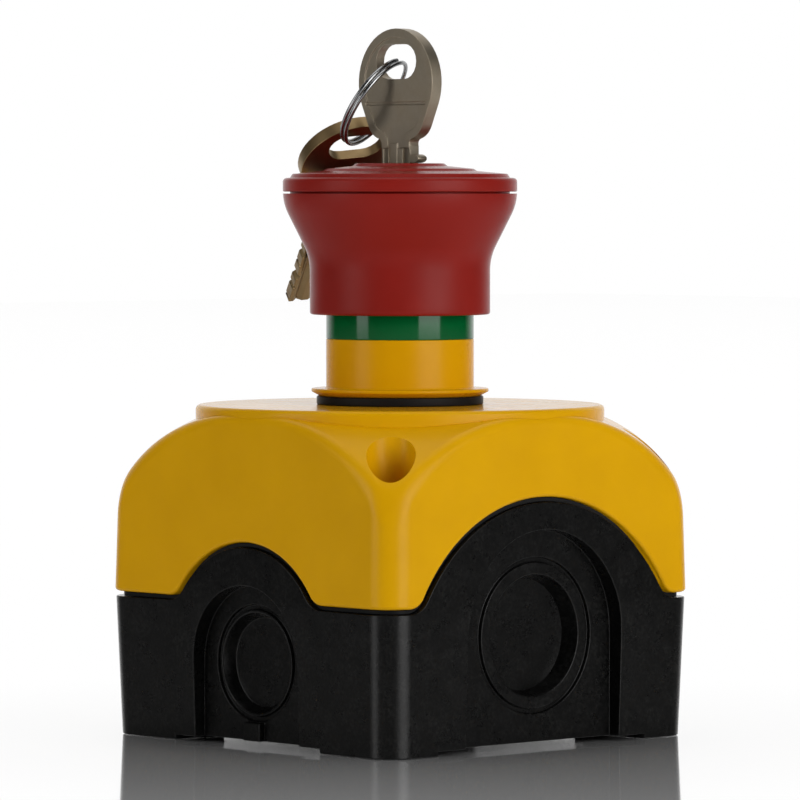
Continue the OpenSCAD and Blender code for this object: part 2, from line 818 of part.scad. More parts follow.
module spare_key() {
    color(nickel) translate(spare_at) rotate(spare_turn) key_shape();
}

// Two turns of round wire, side by side
module split_ring() {
    color(steel)
    translate(ring_at) rotate([0, 0, ring_heading]) rotate([0, ring_tilt, 0])
        rotate_extrude($fn = 64) translate([ring_r, 0]) {
            translate([0, -ring_wire * 0.48]) circle(ring_wire / 2, $fn = 16);
            translate([0, ring_wire * 0.48]) circle(ring_wire / 2, $fn = 16);
        }
}

module contact_adapter() {
    frame_l = block_l;
    frame_w = 2 * (block_gap + block_w);
    grip_z = adapter_z + 7;
    color(black)
    difference() {
        union() {
            translate([-frame_w / 2, -frame_l / 2, adapter_z]) cube([frame_w, frame_l, 7]);
            rod(nut_r, grip_z - over, adapter_top);
        }
        rod(neck_r + fit_gap, neck_end - fit_gap, adapter_top + over);
        rod(rod_r + 2.6, adapter_z - over, neck_end + over);
    }
}

// A contact block that stands beside the middle on +X
module contact_block() {
    room = clamp_w / 2 + 0.7;
    clamp_floor = bar_z - clamp_t - terminal_head_h - 4 * terminal_gap;
    terminal_y = chamber_l / 2 + 0.7;
    bar_top = bar_z + bar_h + fit_gap;
    color(black)
    difference() {
        translate([block_gap, -block_l / 2, block_z]) cube([block_w, block_l, block_h]);
        translate([block_mid - chamber_w / 2, -chamber_l / 2, chamber_z])
            cube([chamber_w, chamber_l, chamber_top - chamber_z]);
        translate([plunger_at - plunger_r - slide_gap, -carrier_w / 2 - slide_gap, chamber_z])
            cube([chamber_w / 2, carrier_w + 2 * slide_gap, chamber_top - chamber_z]);
        translate([plunger_at, 0, 0]) rod(plunger_r + slide_gap, chamber_top - over, block_top + over);
        for (side = [0, 1]) mirror([0, side, 0]) translate([block_mid, 0, 0]) {
            translate([-room, terminal_y, clamp_floor])
                cube([2 * room, block_l, bar_top - clamp_floor]);
            translate([-bar_w / 2 - fit_gap, chamber_l / 2 - over, bar_z - fit_gap])
                cube([bar_w + 2 * fit_gap, 2 * over, bar_h + 2 * fit_gap]);
            translate([0, screw_y, 0]) {
                rod(head_room, block_z - over, bar_z);
                rod(tapped_r, bar_z, screw_top + free_gap);
            }
        }
    }
}

module contact_block_left() mirror([1, 0, 0]) contact_block();
module contact_block_right() contact_block();

module contact_plunger() {
    color(white)
    difference() {
        union() {
            translate([plunger_at, 0, 0]) rod(plunger_r, carrier_top - over, plunger_top);
            translate([plunger_at - plunger_r, -carrier_w / 2, carrier_z])
                cube([block_mid + carrier_w / 2 - plunger_at + plunger_r, carrier_w,
                      carrier_top - carrier_z]);
        }
        translate([block_mid - bar_w / 2 - fit_gap, -carrier_w, bridge_z - fit_gap])
            cube([bar_w + 2 * fit_gap, 2 * carrier_w, bar_h + 2 * fit_gap]);
    }
}

module contact_plunger_left() mirror([1, 0, 0]) contact_plunger();
module contact_plunger_right() contact_plunger();

module contact_bridge() {
    color(brass)
    translate([block_mid, 0, 0]) {
        translate([-bar_w / 2, -rivet_gap / 2 - 1.6, bridge_z])
            cube([bar_w, rivet_gap + 3.2, bar_h]);
        for (side = [-1, 1]) translate([0, side * rivet_gap / 2, 0])
            rod(rivet_r, bridge_z + bar_h / 2, bridge_top + rivet_h);
    }
}

module contact_bridge_left() mirror([1, 0, 0]) contact_bridge();
module contact_bridge_right() contact_bridge();

module contact_spring() {
    color(steel) translate([block_mid, 0, 0]) coil(2, 0.5, chamber_z, carrier_z, 4);
}

module contact_spring_left() mirror([1, 0, 0]) contact_spring();
module contact_spring_right() contact_spring();

// Two contact bars, each from its rivet over the bridge out to its terminal
module fixed_contacts() {
    inner = rivet_gap / 2 - 1.6;
    outer = block_l / 2 - 1.6;
    color(brass)
    for (side = [0, 1]) mirror([0, side, 0]) translate([block_mid, 0, 0])
        difference() {
            union() {
                translate([-bar_w / 2, inner, bar_z]) cube([bar_w, outer - inner, bar_h]);
                translate([0, rivet_gap / 2, 0]) rod(rivet_r, bar_z - rivet_h, bar_z + bar_h / 2);
            }
            translate([0, screw_y, 0]) rod(tapped_r, bar_z - over, bar_z + bar_h + over);
        }
}

module fixed_contacts_left() mirror([1, 0, 0]) fixed_contacts();
module fixed_contacts_right() fixed_contacts();

// Terminal screws, driven from below so that they face an open enclosure
module terminal_screws() {
    head_top = bar_z - clamp_t;
    slot_w = 0.7;
    slot_d = terminal_head_h * 0.45;
    color(steel)
    for (side = [-1, 1]) translate([block_mid, side * screw_y, 0])
        difference() {
            union() {
                rod(terminal_head_r, head_top - terminal_head_h, head_top);
                rod(terminal_r, head_top - fit_gap, screw_top);
            }
            translate([-terminal_head_r - over, -slot_w / 2, head_top - terminal_head_h - over])
                cube([2 * terminal_head_r + 2 * over, slot_w, slot_d + over]);
        }
}

module terminal_screws_left() mirror([1, 0, 0]) terminal_screws();
module terminal_screws_right() terminal_screws();

module terminal_clamps() {
    color(steel)
    for (side = [-1, 1]) translate([block_mid, side * screw_y, 0])
        difference() {
            translate([-clamp_w / 2, -clamp_w / 2, bar_z - clamp_t + fit_gap])
                cube([clamp_w, clamp_w, clamp_t - 2 * fit_gap]);
            rod(tapped_r, bar_z - clamp_t - over, bar_z + over);
        }
}

module terminal_clamps_left() mirror([1, 0, 0]) terminal_clamps();
module terminal_clamps_right() terminal_clamps();

base();
lid();
lid_seal();
lid_screws();
panel_gasket();
collar();
green_band();
mounting_nut();
contact_adapter();
mushroom_skirt();
mushroom_cap();
plunger_stem();
return_spring();
lock_body();
lock_plug();
release_cam();
latch_bolt_left();
latch_bolt_right();
key();
spare_key();
split_ring();
contact_block_left();
contact_block_right();
contact_plunger_left();
contact_plunger_right();
contact_bridge_left();
contact_bridge_right();
contact_spring_left();
contact_spring_right();
fixed_contacts_left();
fixed_contacts_right();
terminal_screws_left();
terminal_screws_right();
terminal_clamps_left();
terminal_clamps_right();
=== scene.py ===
# %% [markdown]
# An emergency stop push button on a yellow and black enclosure, dressed for a close look.
# The construction model is loaded first and stays where it is: every piece made here takes
# its place from it, in metres, with +Z up.

# %% Load the frame
import math

import bmesh
import bpy
import numpy as np
from mathutils import Matrix, Vector


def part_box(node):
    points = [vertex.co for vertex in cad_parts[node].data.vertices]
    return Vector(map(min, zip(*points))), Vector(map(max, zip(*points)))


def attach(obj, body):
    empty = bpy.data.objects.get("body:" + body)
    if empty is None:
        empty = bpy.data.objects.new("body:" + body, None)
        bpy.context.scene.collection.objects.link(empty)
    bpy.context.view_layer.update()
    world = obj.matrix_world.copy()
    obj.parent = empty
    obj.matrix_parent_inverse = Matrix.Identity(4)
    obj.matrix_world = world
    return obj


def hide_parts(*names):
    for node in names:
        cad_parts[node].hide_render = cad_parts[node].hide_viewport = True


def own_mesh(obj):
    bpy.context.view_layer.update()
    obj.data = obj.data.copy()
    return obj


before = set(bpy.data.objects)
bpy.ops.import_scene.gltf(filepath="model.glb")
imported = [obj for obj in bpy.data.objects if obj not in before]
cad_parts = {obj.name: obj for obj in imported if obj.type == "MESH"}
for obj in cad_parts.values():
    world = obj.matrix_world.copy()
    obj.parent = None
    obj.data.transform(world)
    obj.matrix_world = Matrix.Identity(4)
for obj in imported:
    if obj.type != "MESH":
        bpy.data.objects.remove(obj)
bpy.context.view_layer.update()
MM = 0.001

# %% [markdown]
# The camera comes first. The photograph was taken from about a metre away with a long lens,
# a little above the enclosure, looking at its near corner. The lamps are placed by the same
# two helpers later on.

# %% Camera
PHOTO_SIDE, FOCAL_PIXELS = 800, 6084
CAMERA_DISTANCE, CAMERA_HEIGHT, CAMERA_TURN = 1.049, 0.095, math.radians(-43)
CAMERA_AIM = (0, 0, 0.0577)


def linked(name, data):
    """A new object, put into the scene."""
    thing = bpy.data.objects.new(name, data)
    bpy.context.scene.collection.objects.link(thing)
    return thing


def stand(thing, turn, distance, height, aim):
    """Stands a camera or a lamp somewhere round the Z axis and points it at a spot."""
    thing.location = (math.sin(turn) * distance, -math.cos(turn) * distance, height)
    thing.rotation_mode = "QUATERNION"
    thing.rotation_quaternion = (Vector(aim) - thing.location).to_track_quat("-Z", "Y")


lens = bpy.data.cameras.new("camera")
lens.sensor_width = 36
lens.lens = FOCAL_PIXELS / PHOTO_SIDE * lens.sensor_width
lens.clip_start, lens.clip_end = 0.05, 20
camera = linked("camera", lens)
stand(camera, CAMERA_TURN, CAMERA_DISTANCE, CAMERA_HEIGHT, CAMERA_AIM)
bpy.context.scene.camera = camera
bpy.context.scene.view_settings.view_transform = "Standard"
print("lens:", round(lens.lens, 1), "mm")

# %% [markdown]
# Shader sums read best as plain Python. A small class wraps a socket, so that a + b or 1 - a
# adds the Math node, and one method adds any other node with its settings and its inputs.


# %% Shader maths as expressions
class Wire:
    """A socket that can take part in sums."""

    def __init__(self, finish, socket):
        self.finish, self.socket = finish, socket

    def maths(self, operation, *values, clamp=False):
        settings = {"operation": operation, "use_clamp": clamp}
        return self.finish.add("ShaderNodeMath", settings, values)

    def __add__(self, other):
        return self.maths("ADD", self, other)

    def __sub__(self, other):
        return self.maths("SUBTRACT", self, other)

    def __rsub__(self, other):
        return self.maths("SUBTRACT", other, self)

    def __mul__(self, other):
        return self.maths("MULTIPLY", self, other)

    def __truediv__(self, other):
        return self.maths("DIVIDE", self, other)

    def __pow__(self, other):
        return self.maths("POWER", self, other)

    def clamped(self):
        return self.maths("ADD", self, 0.0, clamp=True)


class Finish:
    """A material, built node by node."""

    def __init__(self, name, tree=None):
        if tree is None:
            self.material = bpy.data.materials.new(name)
            self.material.use_nodes = True
            tree = self.material.node_tree
        self.tree = tree
        self.tree.nodes.clear()

    def add(self, kind, settings=None, values=(), out=0):
        """Adds a node with its settings and inputs, and gives back one of its outputs."""
        node = self.tree.nodes.new(kind)
        for key, value in (settings or {}).items():
            setattr(node, key, value)
        pairs = values.items() if isinstance(values, dict) else enumerate(values)
        for key, value in pairs:
            if isinstance(value, Wire):
                self.tree.links.new(value.socket, node.inputs[key])
            else:
                node.inputs[key].default_value = value
        return Wire(self, node.outputs[out]) if node.outputs else None

    def place(self, stretch=(1, 1, 1)):
        """Where a point lies on the piece, in metres, stretched for a pattern."""
        coordinates = self.add("ShaderNodeTexCoord", out="Object")
        return self.add("ShaderNodeMapping", None, {"Vector": coordinates, "Scale": stretch})

    def noise(self, vector, size, detail=2.0, roughness=0.5):
        """Soft noise whose grains are about size metres across, from 0 to 1."""
        return self.add("ShaderNodeTexNoise", None, {
            "Vector": vector, "Scale": 1 / size, "Detail": detail, "Roughness": roughness})

    def mix(self, factor, first, second):
        values = {0: factor, 6: first, 7: second}
        return self.add("ShaderNodeMix", {"data_type": "RGBA"}, values, out=2)

    def spread(self, value, low, high):
        """Stretches a value so that low becomes 0 and high becomes 1, and clips it there."""
        return self.add("ShaderNodeMapRange", {"clamp": True}, (value, low, high, 0.0, 1.0))

    def glance(self):
        """How flat the surface is seen, from 0 where it faces the eye up to 1."""
        return self.add("ShaderNodeLayerWeight", None, {"Blend": 0.5}, out="Facing")

    def bump(self, height, depth, strength):
        values = {"Height": height, "Distance": depth, "Strength": strength}
        return self.add("ShaderNodeBump", None, values)

    def shade(self, **values):
        """Ends the tree with the main shader and gives back the material."""
        values = {key.replace("_", " "): value for key, value in values.items()}
        shader = self.add("ShaderNodeBsdfPrincipled", None, values)
        self.add("ShaderNodeOutputMaterial", None, (shader,))
        return self.material


def rgb(*levels):
    """A colour as a picture program writes it, from 0 to 255, made linear."""
    shares = [level / 255 for level in levels]
    linear = [((s + 0.055) / 1.055) ** 2.4 if s > 0.04 else s / 12.92 for s in shares]
    return (*linear, 1.0)


# %% [markdown]
# The enclosure stands on a pale, polished table in front of a white wall. Seen from so low,
# the table is almost a mirror, and seen from above it is plain white: the share of its gloss
# grows as the view gets flatter. Under the polish it turns from paper into plain white light
# away from the enclosure, so that it has no edge and no colour of its own.

# %% Table
TABLE_SIZE, TABLE_TOP = 6, -0.0001
GLOSS_STARTS, GLOSS_FULL, GLOSS_BLUR = 0.68, 0.94, 0.06
FADE_STARTS, FADE_FULL = 0.035, 0.13
PAPER, PURE_WHITE = (0.92, 0.92, 0.92, 1), (1, 1, 1, 1)

top = Finish("table")
away = top.add("ShaderNodeVectorMath", {"operation": "LENGTH"}, (top.place(),), out="Value")
seen = top.add("ShaderNodeLightPath", out="Is Camera Ray")
faded = top.spread(away, FADE_STARTS, FADE_FULL) * seen
paper = top.add("ShaderNodeBsdfDiffuse", None, {"Color": PAPER})
light = top.add("ShaderNodeEmission", None, {"Color": PURE_WHITE, "Strength": 1.0})
under = top.add("ShaderNodeMixShader", None, (faded, paper, light))
mirror = top.add("ShaderNodeBsdfGlossy", None, {"Color": PURE_WHITE, "Roughness": GLOSS_BLUR})
polish = top.spread(top.glance(), GLOSS_STARTS, GLOSS_FULL)
surface = top.add("ShaderNodeMixShader", None, (polish, under, mirror))
top.add("ShaderNodeOutputMaterial", None, (surface,))

bpy.ops.mesh.primitive_plane_add(size=TABLE_SIZE, location=(0, 0, TABLE_TOP))
table = bpy.context.object
table.name = "table"
table.data.materials.append(top.material)
print("table:", TABLE_SIZE, "m wide")

# %% [markdown]
# The wall behind the enclosure is white to the eye and in reflections. The rest of the room
# is nearly dark, but sends a little soft light into the shadows. Two tall soft boxes give
# the narrow lights on the round edges, and a wide one above lights the top.

# %% Room and lamps
BEHIND = (-math.sin(CAMERA_TURN), math.cos(CAMERA_TURN), 0.0)
WALL_STARTS, WALL_FULL = 0.55, 0.85
WALL_LIGHT, SHADOW_LIGHT, ROOM_LIGHT = 0.99, 0.1, 0.01
LAMPS_AIM = (0, 0, 0.05)

world = bpy.data.worlds.new("room")
bpy.context.scene.world = world
world.use_nodes = True
room = Finish("room", world.node_tree)
heading = room.add("ShaderNodeTexCoord", out="Generated")
behind = room.add("ShaderNodeVectorMath", {"operation": "DOT_PRODUCT"}, (heading, BEHIND), "Value")
wall = room.spread(behind, WALL_STARTS, WALL_FULL) * WALL_LIGHT
seen, scattered = (room.add("ShaderNodeLightPath", out=f"Is {ray} Ray")
                   for ray in ("Camera", "Diffuse"))
level = seen + (1 - seen) * (wall + scattered * SHADOW_LIGHT + ROOM_LIGHT)
glow = room.add("ShaderNodeBackground", None, {"Color": PURE_WHITE, "Strength": level})
room.add("ShaderNodeOutputWorld", None, (glow,))


def soft_box(name, turn, distance, height, size, watts):
    """A rectangular lamp, turned round the object from the camera's own direction."""
    lamp = bpy.data.lights.new(name, "AREA")
    lamp.shape, lamp.energy = "RECTANGLE", watts
    lamp.size, lamp.size_y = size
    stand(linked(name, lamp), CAMERA_TURN + math.radians(turn), distance, height, LAMPS_AIM)


soft_box("strip_left", -60.5, 0.75, 0.15, (0.27, 0.7), 1.8)
soft_box("strip_right", 47, 0.75, 0.15, (0.49, 0.7), 4.3)
soft_box("top_light", 180, 0.1, 0.9, (0.9, 0.9), 2.9)

# %% [markdown]
# Moulded plastic is never one flat colour: the mould's spark-eroded skin scatters light in
# grains a few tenths of a millimetre wide, and the pigment clouds a little over the wall.
# Seen flat along the surface, the grain hides behind itself and the plastic turns glossy,
# which is why the round top of the lid looks nearly white in the photograph.

# %% Plastic finishes
RUB_SIZE, CLOUD_SIZE, WEAR_SIZE, FLECK_SIZE = 4 * MM, 12 * MM, 3.5 * MM, 0.55 * MM
SHEER = 0.65


def moulded(name, colour, darker, grain, depth, dull, shine=0.2, fleck=None):
    """A plastic in two tones: the mould's grain and its depth in mm, and how dull it is."""
    look = Finish(name)
    where = look.place()
    fine = look.noise(where, grain * MM, 3.0, 0.6)
    coarse = look.noise(where, grain * MM * 5)
    rub = look.spread(look.noise(where, RUB_SIZE, 4.0, 0.7), 0.35, 0.75)
    clouds = look.spread(look.noise(where, CLOUD_SIZE, 3.0), 0.3, 0.7)
    tone = look.mix(clouds, colour, darker)
    if fleck:
        worn = look.spread(look.noise(where, WEAR_SIZE), 0.35, 0.65) * 0.6 + 0.4
        flecks = look.spread(look.noise(where, FLECK_SIZE, 4.0, 0.75), 0.44, 0.7)
        tone = look.mix(flecks * worn, tone, fleck)
    rough = (rub * 0.08 + fine * 0.05 + dull) * (1 - look.glance() ** 5 * SHEER)
    return look.shade(Base_Color=tone, Roughness=rough.clamped(), Specular_IOR_Level=shine,
                      Normal=look.bump(fine + coarse * 0.5, depth * MM, 0.6))


YELLOW = moulded("yellow_plastic", rgb(231, 172, 1), rgb(225, 166, 0), 0.3, 0.016, 0.27, 0.13)
COLLAR_YELLOW = moulded("collar_plastic", rgb(235, 172, 1), rgb(229, 166, 0),
                        0.3, 0.006, 0.25, 0.1)
BLACK = moulded("black_plastic", rgb(7, 7, 7), rgb(5, 5, 5), 0.28, 0.04, 0.24, 0.24,
                fleck=rgb(35, 35, 34))
RED = moulded("red_plastic", rgb(146, 30, 22), rgb(139, 27, 19), 0.4, 0.008, 0.36, 0.17)
GREEN = moulded("green_plastic", rgb(0, 96, 47), rgb(0, 92, 44), 0.5, 0.002, 0.05, 0.3)
RUBBER = moulded("black_rubber", rgb(26, 26, 27), rgb(20, 20, 21), 0.5, 0.03, 0.55)
WHITE = moulded("white_plastic", rgb(226, 226, 218), rgb(216, 216, 208), 0.5, 0.008, 0.32)
GREY = moulded("grey_plastic", rgb(92, 93, 96), rgb(80, 81, 84), 0.5, 0.02, 0.38)
BLOCK = moulded("block_plastic", rgb(60, 61, 64), rgb(50, 51, 54), 0.5, 0.02, 0.36)
plastics = (YELLOW, COLLAR_YELLOW, BLACK, RED, GREEN, RUBBER, WHITE, GREY, BLOCK)
print("plastics:", [m.name for m in plastics])

# %% [markdown]
# The metals are plated: nickel on the keys and the lock, chrome on the ring, zinc on screws
# and springs, and bare brass on the contacts. Plating over stamped metal stays a little
# uneven, so fine pits go into the roughness and handling leaves duller, darker patches.

# %% Metal finishes
HAIR_SIZE, PIT_SIZE, PATCH_SIZE, PIT_DEPTH = 1.2 * MM, 0.4 * MM, 6 * MM, 0.01 * MM


def plated(name, colour, tarnish, dull, wear=0.5, pits=0.3):
    """A metal with fine pits, hair scratches along Z and duller, darker patches."""
    look = Finish(name)
    where = look.place()
    hairs = look.noise(look.place(stretch=(1, 1, 12)), HAIR_SIZE, 3.0, 0.7)
    pitted = look.noise(where, PIT_SIZE, 3.0, 0.7)
    patches = look.spread(look.noise(where, PATCH_SIZE, 4.0, 0.65), 0.42, 0.72)
    return look.shade(Base_Color=look.mix(patches * wear, colour, tarnish), Metallic=1.0,
                      Roughness=(patches * 0.08 + pitted * 0.08 + dull).clamped(),
                      Normal=look.bump(hairs + pitted, PIT_DEPTH, pits))


NICKEL = plated("worn_nickel", rgb(172, 161, 143), rgb(147, 133, 111), 0.38)
OLD_NICKEL = plated("brassy_nickel", rgb(160, 136, 98), rgb(136, 108, 72), 0.34)
LOCK_NICKEL = plated("lock_nickel", rgb(176, 172, 162), rgb(140, 132, 116), 0.3)
CHROME = plated("chrome", rgb(164, 165, 166), rgb(134, 134, 133), 0.18, wear=0.3, pits=0.15)
ZINC = plated("zinc", rgb(186, 188, 192), rgb(150, 150, 148), 0.3)
BRASS = plated("contact_brass", rgb(206, 172, 98), rgb(160, 124, 62), 0.28)
print("metals:", [m.name for m in (NICKEL, OLD_NICKEL, LOCK_NICKEL, CHROME, ZINC, BRASS)])

# %% [markdown]
# Most of what stands above the enclosure was turned or moulded round. One helper rounds the
# corners of an outline, and another one spins it about the Z axis and closes it.

# %% Helpers for turned pieces
ROUNDING_SHARE, SAME_POINT, ON_AXIS = 0.48, 1e-7, 1e-6


def rounded(outline, steps=4):
    """Outline corners as (radius, height, rounding) in mm, made a list of plain points."""
    points, count = [], len(outline)
    for i, (r, z, soft) in enumerate(outline):
        here = np.array((r, z))
        if soft == 0:
            points.append(here)
            continue
        before = np.array(outline[i - 1][:2]) - here
        after = np.array(outline[(i + 1) % count][:2]) - here
        limit = min(np.linalg.norm(before), np.linalg.norm(after)) * ROUNDING_SHARE
        a, b = before / np.linalg.norm(before), after / np.linalg.norm(after)
        half = math.acos(np.clip(a @ b, -1, 1)) / 2
        reach = min(soft / math.tan(half), limit)
        middle = here + (a + b) / np.linalg.norm(a + b) * reach / math.cos(half)
        start, end = here + a * reach - middle, here + b * reach - middle
        swing = math.atan2(start[0] * end[1] - start[1] * end[0], start @ end)
        for k in range(steps + 1):
            c, s = math.cos(swing * k / steps), math.sin(swing * k / steps)
            points.append(middle + (start[0] * c - start[1] * s, start[0] * s + start[1] * c))
    return points


def finished(name, mesh, finish, sharp=40.0):
    """Gives a mesh its finish, and smooth shading up to an angle unless sharp is None."""
    if sharp is not None:
        mesh.shade_smooth()
        mesh.set_sharp_from_angle(angle=math.radians(sharp))
    mesh.materials.clear()
    mesh.materials.append(finish)
    print(name, "has", len(mesh.polygons), "faces")
    return linked(name, mesh)


def mesh_piece(name, vertices, faces, finish, sharp=40.0):
    """A piece from its points and faces, with double points joined and faces outward."""
    mesh = bpy.data.meshes.new(name)
    mesh.from_pydata([tuple(v) for v in vertices], [], faces)
    work = bmesh.new()
    work.from_mesh(mesh)
    bmesh.ops.remove_doubles(work, verts=work.verts, dist=SAME_POINT)
    bmesh.ops.recalc_face_normals(work, faces=work.faces)
    work.to_mesh(mesh)
    work.free()
    return finished(name, mesh, finish, sharp)


def turned(name, outline, finish, around=128):
    """Spins a closed outline about the Z axis."""
    points, vertices, faces = rounded(outline), [], []
    for r, z in points:
        for k in range(around):
            a = 2 * math.pi * k / around
            vertices.append((r * MM * math.cos(a), r * MM * math.sin(a), z * MM))
    rows = len(points)
    for i in range(rows):
        j = (i + 1) % rows
        if max(points[i][0], points[j][0]) < ON_AXIS:
            continue
        for k in range(around):
            n = (k + 1) % around
            faces.append((i * around + k, i * around + n, j * around + n, j * around + k))
    return mesh_piece(name, vertices, faces, finish)


def evaluated(piece):
    """The mesh that a piece's modifiers make."""
    graph = bpy.context.evaluated_depsgraph_get()
    return bpy.data.meshes.new_from_object(piece.evaluated_get(graph))


def stands_for(piece, body, slot, *nodes):
    """Ties a piece to its body and lets it stand for pieces of the construction model."""
    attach(piece, body)
    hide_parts(*nodes)


# %% [markdown]
# Gasket, collar and green band. The collar's thin sleeve goes on down through the lid and up
# into the head. The band sits round it, shows while the button is released and slips out of
# sight under the head when it is pressed.

# %% Gasket, collar and band
LID_TOP, GASKET_TOP, GASKET_R = 57.0, 58.5, 14.4
SLEEVE_R, SLEEVE_LOW, SLEEVE_TOP = 11.0, 45.0, 77.8
BORE_R, GUIDE_R, GUIDE_TOP = 9.1, 5.1, 47.5
FLANGE_R, FLANGE_UNDER, FLANGE_TOP = 15.3, 59.25, 59.8
NECK_R, NECK_TOP, BAND_TOP = 12.75, 68.3, 77.3

gasket = turned("gasket", [
    (SLEEVE_R + 0.1, LID_TOP, 0), (GASKET_R, LID_TOP, 0.3), (GASKET_R, GASKET_TOP, 0.3),
    (SLEEVE_R + 0.1, GASKET_TOP, 0)], RUBBER)
stands_for(gasket, "enclosure", "rubber", "panel_gasket")

collar = turned("collar_shell", [
    (SLEEVE_R, SLEEVE_LOW, 0.4), (SLEEVE_R, GASKET_TOP, 0), (GASKET_R - 0.5, GASKET_TOP, 0.3),
    (FLANGE_R, FLANGE_UNDER, 0.25), (FLANGE_R, FLANGE_TOP, 0.25), (NECK_R, FLANGE_TOP, 0.35),
    (NECK_R, NECK_TOP, 0.15), (SLEEVE_R, NECK_TOP, 0), (SLEEVE_R, SLEEVE_TOP, 0.3),
    (BORE_R, SLEEVE_TOP, 0.2), (BORE_R, GUIDE_TOP, 0), (GUIDE_R, GUIDE_TOP, 0),
    (GUIDE_R, SLEEVE_LOW, 0)], COLLAR_YELLOW)
stands_for(collar, "enclosure", "yellow", "collar")

band = turned("band", [
    (SLEEVE_R + 0.05, NECK_TOP + 0.02, 0), (NECK_R, NECK_TOP + 0.02, 0.15),
    (NECK_R, BAND_TOP, 0.3), (SLEEVE_R + 0.05, BAND_TOP, 0.1)], GREEN)
stands_for(band, "enclosure", "green", "green_band")

# %% [markdown]
# The mushroom head is two mouldings with a thin dark joint between them. The flare of the
# lower one is a hollow curve that runs into a round one, as fitted to the photograph.

# %% Mushroom head
SKIRT_R, SKIRT_LOW, SKIRT_TOP, EDGE_ROW = 15.55, 72.5, 93.3, 1.5
HEAD_R, HOLLOW_R, HOLLOW_TOP = 20.2, 13.15, 84.6
LOW_ARC, TOP_ARC, LEAN, TOP_ARC_END, TOP_ARC_ABOVE = 9.6, 9.2, 26.6, 3.2, 0.5
JOINT_R, JOINT_LOW, LOCK_HOLE_R = 19.0, 90.5, 7.05
CAP_LOW, RIM_TOP, CAP_TOP = 93.63, 95.95, 98.5
LEDGES = [(18.95, 96.05, 0.15), (18.55, 96.7, 0.25), (13.3, 97.2, 0.3), (12.7, 97.58, 0.4),
          (8.2, 98.05, 0.3), (7.6, CAP_TOP, 0.25)]


def sweep(r, z, radius, first, last):
    """Points of an arc between two angles, as outline corners with no rounding."""
    angles = np.radians(np.linspace(first, last, 13))
    return [(r + radius * math.cos(a), z + radius * math.sin(a), 0) for a in angles]


lean = math.radians(LEAN)
run = HEAD_R - SKIRT_R - (LOW_ARC + TOP_ARC) * (1 - math.cos(lean))
top_arc_z = SKIRT_TOP + TOP_ARC_ABOVE
low_arc_z = top_arc_z - (LOW_ARC + TOP_ARC) * math.sin(lean) - run / math.tan(lean)
flare = sweep(SKIRT_R + LOW_ARC, low_arc_z, LOW_ARC, 180, 180 - LEAN)
flare += sweep(HEAD_R - TOP_ARC, top_arc_z, TOP_ARC, -LEAN, -TOP_ARC_END)
skirt = turned("head_skirt", [
    (HOLLOW_R, SKIRT_LOW, 0.3), (SKIRT_R, SKIRT_LOW, 0.45),
    (SKIRT_R, SKIRT_LOW + EDGE_ROW, 0), *flare,
    (HEAD_R, SKIRT_TOP, 0.25), (JOINT_R, SKIRT_TOP, 0.1), (JOINT_R, JOINT_LOW, 0),
    (LOCK_HOLE_R, JOINT_LOW, 0), (LOCK_HOLE_R, HOLLOW_TOP, 0), (HOLLOW_R, HOLLOW_TOP, 0),
], RED, around=160)
stands_for(skirt, "head", "red", "mushroom_skirt")

cap = turned("head_cap", [
    (LOCK_HOLE_R, JOINT_LOW, 0), (JOINT_R - 0.05, JOINT_LOW, 0), (JOINT_R - 0.05, CAP_LOW, 0.1),
    (HEAD_R, CAP_LOW, 0.2), (HEAD_R, RIM_TOP, 0.9), *LEDGES, (LOCK_HOLE_R, CAP_TOP, 0.1),
], RED, around=160)
stands_for(cap, "head", "red", "mushroom_cap")

# %% [markdown]
# The lock's body shows as a ring in the middle of the cap. The plug inside it comes further
# down, with the other softened pieces.

# %% Lock
LOCK_R, LOCK_LOW, LOCK_TOP = 7.0, 72.0, 98.4
PLUG_HOLE_R, TAIL_HOLE_R, LOCK_FLOOR = 4.85, 2.5, 0.55
barrel = turned("lock_barrel", [
    (LOCK_R, LOCK_LOW, 0.2), (LOCK_R, LOCK_TOP, 0.25), (PLUG_HOLE_R, LOCK_TOP, 0.15),
    (PLUG_HOLE_R, LOCK_LOW + LOCK_FLOOR, 0), (TAIL_HOLE_R, LOCK_LOW + LOCK_FLOOR, 0),
    (TAIL_HOLE_R, LOCK_LOW, 0)], LOCK_NICKEL, around=96)
stands_for(barrel, "head", "lock", "lock_body")

# %% [markdown]
# The lid is one moulding with no flat edge that could be bevelled: four shoulders run into
# four drafted sides. It is easier to say where its skin is than to model it by hand. A short
# function gives the distance to the skin, and a grid of rays from inside finds the skin.

# %% Distance to the lid's skin
LID = dict(width=72.6, edge=24.75, top=LID_TOP, draft=1.3, corner=5.0, soft=1.5, wall=2.4,
           shoulder=25.1, shoulder_z=30.9, disc=35.25, hole=11.15, screw=30.0, pocket=4.1,
           pocket_floor=31.0, pillar=5.4)
DRAFT = math.tan(math.radians(LID["draft"]))
SHOULDER_AT = LID["width"] / math.sqrt(2) - LID["shoulder"]
CORNERS = ((1, 1), (-1, 1), (-1, -1), (1, -1))
HALVINGS = 30


